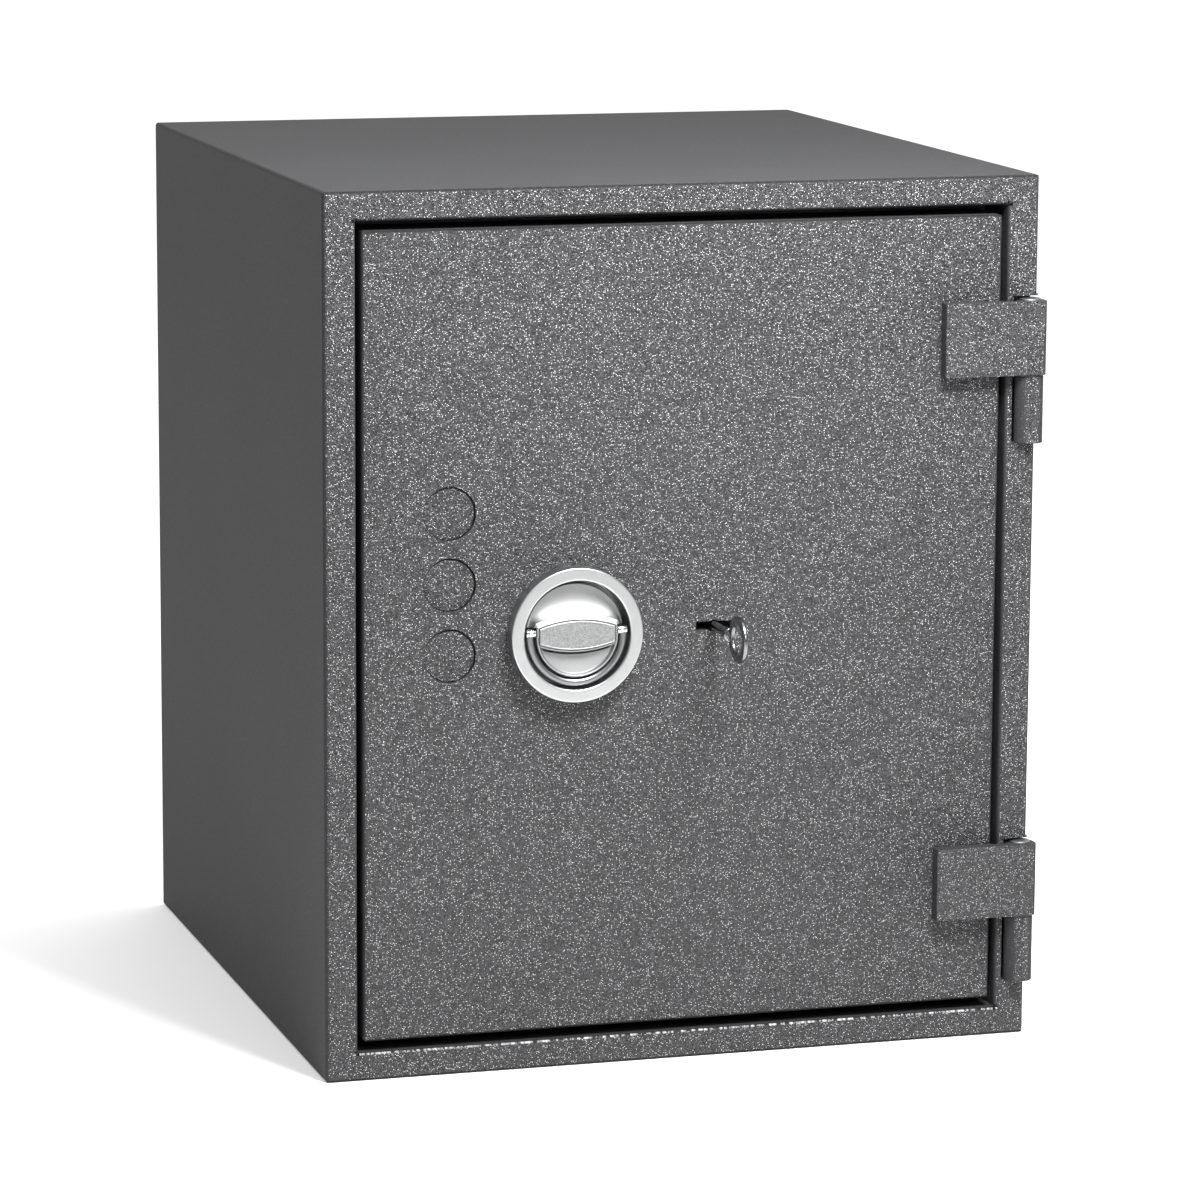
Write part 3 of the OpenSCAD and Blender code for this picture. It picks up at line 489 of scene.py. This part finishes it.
def make_rotor():
    bm = bmesh.new()
    # base flange
    lathe(bm, KX, KZ, [(0.01, 6.0), (35.9, 6.0), (36.2, 6.3), (36.2, 9.6), (0.01, 9.6)], 128)
    # lower half: bowl with a raised rim
    rim = [(25.9, 6.5), (25.9, -6.9), (26.4, -7.4), (26.75, -7.9), (26.95, -8.8)] + arc(27.72, -9.5, 0.72, 190, 360, 10)
    lathe(bm, KX, KZ, rim + [(28.44, -8.6), (28.44, 6.5)], 128, 180, 360)
    rings = []
    for j in range(97):
        t = j / 96
        u_in = -25.0 * math.cos(math.pi * t)
        v_in = -lens_v(u_in) + 0.3
        th = math.radians(-164 + 148 * t)
        u_out, v_out = 26.2 * math.cos(th), 26.2 * math.sin(th)
        ln = math.hypot(u_out - u_in, v_out - v_in)
        gw = min(2.3, ln * 0.3)                      # groove under the bar
        ring = []
        for x in [0, gw * 0.5, gw * 0.93, gw] + [gw + 0.15 + (ln - gw - 0.15) * k / 18 for k in range(19)]:
            u, v = u_in + (u_out - u_in) * x / ln, v_in + (v_out - v_in) * x / ln
            bowl = -4.0 - (110 - math.sqrt(12100 - u * u - v * v))
            ring.append(front_pt(KX, KZ, u, v, -0.5 if x < gw * 0.95 else (bowl + 0.25 if x <= gw else bowl)))
        ring.append(front_pt(KX, KZ, u_out, v_out, 6.5))
        ring.append(front_pt(KX, KZ, u_in, v_in, 6.5))
        rings.append(ring)
    loft(bm, rings, close_u=True, cap=True)
    # grip bar under its cover plate
    lv = [(0.0, 6.8), (0.0, -9.2), (0.10, -9.35), (0.55, -9.78), (0.7, -9.8), (1.05, -9.8), (1.1, -9.75), (1.12, -8.9), (1.7, -8.9)]
    stack(bm, KX, KZ, lv)
    # upper half: a dish that sweeps up to the bar's wide bevel
    cols = 120
    rings = []
    for j in range(cols + 1):
        t = j / cols
        u_in = -27.6 * math.cos(math.pi * t)
        v_in = lens_v(u_in) - 0.25
        th = math.radians(171 - 162 * t)
        u_out, v_out = 34 * math.cos(th), 34 * math.sin(th)
        ln = math.hypot(u_out - u_in, v_out - v_in)
        bw = min(2.6, ln * 0.35)                     # bevel
        xs = [0, bw * 0.1, bw * 0.5, bw * 0.9, bw] + [bw + 0.1 + (ln - bw - 0.6) * (k / 30) for k in range(31)]
        xs += [ln - 0.5 * k / 5 for k in (4, 3, 2, 1, 0)]
        ring = []
        for x in xs:
            sfr = x / ln
            if x <= bw:
                d = -9.15 + 1.25 * (x / bw) ** 1.1
            else:
                q = min(1.0, (x - bw) / (ln - bw))
                d = -2.6 - 5.0 * (1 - q) ** 3.0
            e = ln - x
            if e < 0.5:
                d += 0.5 * (1 - math.sqrt(max(0.0, 1 - (1 - e / 0.5) ** 2)))
            ring.append(front_pt(KX, KZ, u_in + (u_out - u_in) * sfr, v_in + (v_out - v_in) * sfr, d))
        ring.append(front_pt(KX, KZ, u_out, v_out, 6.5))
        ring.append(front_pt(KX, KZ, u_in, v_in, 6.5))
        rings.append(ring)
    loft(bm, rings, close_u=True, cap=True)
    bmesh.ops.remove_doubles(bm, verts=bm.verts, dist=1e-7)
    ob = obj_from(bm, "handle_dish", [M["rotor"]], angle=38)
    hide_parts("handle_rotor")
    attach(ob, "handle")
    # cover plate: blasted face, polished bevel
    bm = bmesh.new()
    stack(bm, KX, KZ, [(1.65, -8.95), (1.65, -10.1), (1.75, -10.4), (2.15, -10.7), (2.4, -10.7), (2.6, -10.55)], mats=[1, 1, 1, 1, 1])
    for f in bm.faces:
        if len(f.verts) > 4:
            f.material_index = 0
    ob = obj_from(bm, "grip_cover", [M["grip"], M["rotor"]], angle=20)
    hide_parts("grip_plate")
    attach(ob, "handle")


def tube(bm, path, r, n=32, mat=0, caps=True, normal=(0, 1, 0)):
    """Round bar along path points; normal = direction square to the path's plane."""
    rings = []
    nv = Vector(normal)
    for i, p in enumerate(path):
        a = Vector(path[max(0, i - 1)])
        b = Vector(path[min(len(path) - 1, i + 1)])
        t = (b - a).normalized()
        s = t.cross(nv).normalized()
        rr = r[i] if hasattr(r, "__len__") else r
        rings.append([tuple(Vector(p) + (s * math.cos(2 * math.pi * k / n) + nv * math.sin(2 * math.pi * k / n)) * rr)
                      for k in range(n)])
    loft(bm, rings, cap=caps, mat=mat)


def turned(bm, p0, axis, prof, n=48, mat=0):
    """Body of revolution about axis from p0; prof: (distance along the axis, radius), ends closed."""
    ax = Vector(axis).normalized()
    s = ax.orthogonal().normalized()
    t = ax.cross(s)
    rings = [[tuple(Vector(p0) + ax * (h * MM) + (s * math.cos(2 * math.pi * k / n) + t * math.sin(2 * math.pi * k / n)) * (r * MM))
              for k in range(n)] for h, r in prof]
    loft(bm, rings, cap=True, mat=mat)


def make_bail():
    bm = bmesh.new()
    pd = -6.5
    path = [front_pt(KX, KZ, -32.4, 0.6, pd)]
    path += [front_pt(KX, KZ, 32.4 * math.cos(math.radians(a)), 32.4 * math.sin(math.radians(a)), pd) for a in range(180, 361, 2)]
    path += [front_pt(KX, KZ, 32.4, 0.6, pd)]
    tube(bm, path, 2.95 * MM, 40)
    for s in (-1, 1):
        p0 = front_pt(KX, KZ, s * 28.4, 2.0, pd)
        turned(bm, p0, (s, 0, 0), [(0, 2.5), (0.15, 2.85), (0.45, 3.0), (6.35, 3.0), (6.65, 2.85), (6.8, 2.5)], 48, 1)
    ob = obj_from(bm, "pull_bail", [M["bail"], M["chrome"]], angle=50)
    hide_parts("bail")
    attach(ob, "handle_bail")


KEY_D = -53.0          # depth of the bow's centre


def make_key():
    bm = bmesh.new()
    n = 72
    rings = []
    half_t = 1.6
    sec = 20
    for k in range(n):
        a = 2 * math.pi * k / n
        ca, sa = math.cos(a), math.sin(a)
        so = 1.4 if ca > 1e-9 else (-1.4 if ca < -1e-9 else 0)
        si = 1.2 if ca > 1e-9 else (-1.2 if ca < -1e-9 else 0)
        ox, oz = so + 15.6 * ca, 15.6 * sa
        ix, iz = si + 9.6 * ca, 9.6 * sa
        ring = []
        for q in range(sec):
            b = 2 * math.pi * (q + 0.5) / sec
            cb, sb = math.cos(b), math.sin(b)
            # rounded-rectangle section
            e = 0.55
            w = math.copysign(abs(cb) ** e, cb)
            h = math.copysign(abs(sb) ** e, sb)
            f = 0.5 + 0.5 * w
            dx, dz = ix + (ox - ix) * f, iz + (oz - iz) * f
            ring.append((LX + half_t * h * MM, YF + (KEY_D + dx) * MM, LZ + dz * MM))
        rings.append(ring)
    loft(bm, rings, close_u=True, close_v=True)
    d1 = KEY_D + 16
    turned(bm, (LX, YF + (d1 - 0.6) * MM, LZ), (0, 1, 0),
           [(0, 2.4), (0.6, 3.0), (1.2, 3.1), (1.5, 4.2), (1.8, 4.6), (4.4, 4.6), (4.8, 4.3), (5.1, 3.25),
            (60.5 - d1 + 0.6 - 0.6, 3.25), (60.5 - d1 + 0.6, 2.6)], 48)
    lo, hi = [11.5, 9.4, 11, 8.6, 11.5], [11.5, 10.2, 8.8, 11, 9.8]
    for i in range(5):
        d0 = 48 + i * 2.4
        x0, x1, z1, c = -lo[i], hi[i], 1.5, 0.25
        a = [front_pt(LX, LZ, x, z, d) for d in (d0, d0 + 2.4) for x, z in
             ((x0, -z1 + c), (x0 + c, -z1), (x1 - c, -z1), (x1, -z1 + c), (x1, z1 - c), (x1 - c, z1), (x0 + c, z1), (x0, z1 - c))]
        loft(bm, [a[:8], a[8:]], cap=True)
    ob = obj_from(bm, "door_key", [M["key"]], angle=40)
    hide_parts("key")
    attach(ob, "key_body")


PIN_R, STRAP_H, STRAPS = 7.5, 50.5, (464.0, 86.0)


def make_pins():
    bm = bmesh.new()
    for z in STRAPS:
        prof = [(-39, PIN_R), (STRAP_H + 0.7, PIN_R)]
        prof += [(STRAP_H + 0.7 + 0.7 * math.sin(math.radians(a)), PIN_R - 0.7 + 0.7 * math.cos(math.radians(a))) for a in (25, 50, 75)]
        prof += [(STRAP_H + 1.5, PIN_R - 1.2), (STRAP_H + 1.68, 4.5), (STRAP_H + 1.76, 2.5), (STRAP_H + 1.8, 0.4)]
        turned(bm, (HX, HY, z * MM), (0, 0, 1), prof, 64)
    ob = obj_from(bm, "hinge_pin_pair", [M["pin"]], angle=40)
    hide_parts("hinge_pins")
    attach(ob, "cabinet")


def make_discs():
    """Flush blanks: painted faces seated a little to the left in their holes, over a dark back; the dark rubber
    material on the groove's flank and floor is painted shade of the gap.
    """
    bm = bmesh.new()
    n = 128
    for cz in (0.288, 0.336, 0.384):
        prof = [(0.01, 1.9, 1), (17.15, 1.9, 1), (17.45, 2.2, 1), (17.5, 4.2, 1), (18.0, 4.2, 0), (18.0, 7.0, 0), (0.01, 7.0, 0)]
        rings = []
        for r, d, off in prof:
            rings.append([front_pt(-0.164, cz, -0.45 * off + r * math.cos(2 * math.pi * i / n),
                                   -0.20 * off + r * math.sin(2 * math.pi * i / n), d) for i in range(n)])
        # material 1 (dark rubber) on the groove's flank and floor: painted shade in the gap round each disc
        loft(bm, rings, close_u=True, close_v=True, mats=[0, 0, 1, 1, 1, 1, 0])
    ob = obj_from(bm, "blank_disc_faces", [M["door"], M["rubber"]], angle=25)
    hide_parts("blanking_discs")
    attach(ob, "door")


make_housing()
make_rotor()
make_bail()
make_key()
make_pins()
make_discs()

# ------------------------------------------------------------------ stage
def stage():
    bm = bmesh.new()
    # floor that curves up far behind the object
    prof = [(-30, 0)] + [(10 + 20 * math.sin(t), 20 - 20 * math.cos(t)) for t in [i * math.pi / 48 for i in range(25)]]
    rows = [[bm.verts.new((x, y, z)) for x in (-40, 40)] for y, z in prof]
    for r0, r1 in zip(rows, rows[1:]):
        bm.faces.new((r0[0], r0[1], r1[1], r1[0]))
    me = bpy.data.meshes.new("floor")
    bm.to_mesh(me)
    ob = bpy.data.objects.new("floor", me)
    scene.collection.objects.link(ob)
    a = Mat("floor_m")
    n = a.noise(3, 2, 0.5)
    a.set(color=a.mix(a.mapr(n, 0.3, 0.7, 0, 1), 0.90, 0.91), rough=0.9, spec=0.1)
    a.bsdf.inputs["Emission Color"].default_value = (1, 1, 1, 1)
    a.bsdf.inputs["Emission Strength"].default_value = 0.12
    me.materials.append(a.m)


stage()


def area(name, loc, aim, size, power, color=(1, 1, 1), sy=None):
    d = bpy.data.lights.new(name, "AREA")
    d.shape = "RECTANGLE"
    d.size, d.size_y = size, sy or size
    d.energy = power
    d.color = color
    o = bpy.data.objects.new(name, d)
    o.location = loc
    o.rotation_mode = "QUATERNION"
    o.rotation_quaternion = (Vector(aim) - Vector(loc)).to_track_quat("-Z", "Y")
    scene.collection.objects.link(o)
    return o


area("key_light", (0.32, -1.75, 0.95), (0, -0.26, 0.35), 0.4, 4)
area("front_top_light", (0.12, -0.82, 1.14), (-0.06, -0.26, 0.54), 0.36, 38)
area("top_light", (0.0, 0.4, 2.4), (0, 0.1, 0.3), 1.8, 8)
w = bpy.data.worlds.new("studio")
scene.world = w
w.use_nodes = True
nt = w.node_tree
bg = nt.nodes["Background"]
bg.inputs["Color"].default_value = (1, 1, 1, 1)
co = nt.nodes.new("ShaderNodeTexCoord")
sp = nt.nodes.new("ShaderNodeSeparateXYZ")
mr = nt.nodes.new("ShaderNodeMapRange")
nt.links.new(co.outputs["Generated"], sp.inputs[0])
nt.links.new(sp.outputs["Y"], mr.inputs["Value"])
mr.inputs["From Min"].default_value = -0.25
mr.inputs["From Max"].default_value = 0.45
mr.inputs["To Min"].default_value = 0.32
mr.inputs["To Max"].default_value = 1.05
up = nt.nodes.new("ShaderNodeMapRange")
up.interpolation_type = "SMOOTHSTEP"
nt.links.new(sp.outputs["Z"], up.inputs["Value"])
up.inputs["From Min"].default_value = 0.15
up.inputs["From Max"].default_value = 0.75
up.inputs["To Min"].default_value = 0.0
up.inputs["To Max"].default_value = 0.62
ad = nt.nodes.new("ShaderNodeMath")
nt.links.new(mr.outputs["Result"], ad.inputs[0])
nt.links.new(up.outputs["Result"], ad.inputs[1])
nt.links.new(ad.outputs[0], bg.inputs["Strength"])
scene.view_settings.view_transform = "Standard"
scene.view_settings.look = "None"
scene.view_settings.exposure = 0.0

# ------------------------------------------------------------------ the end
bpy.context.view_layer.update()
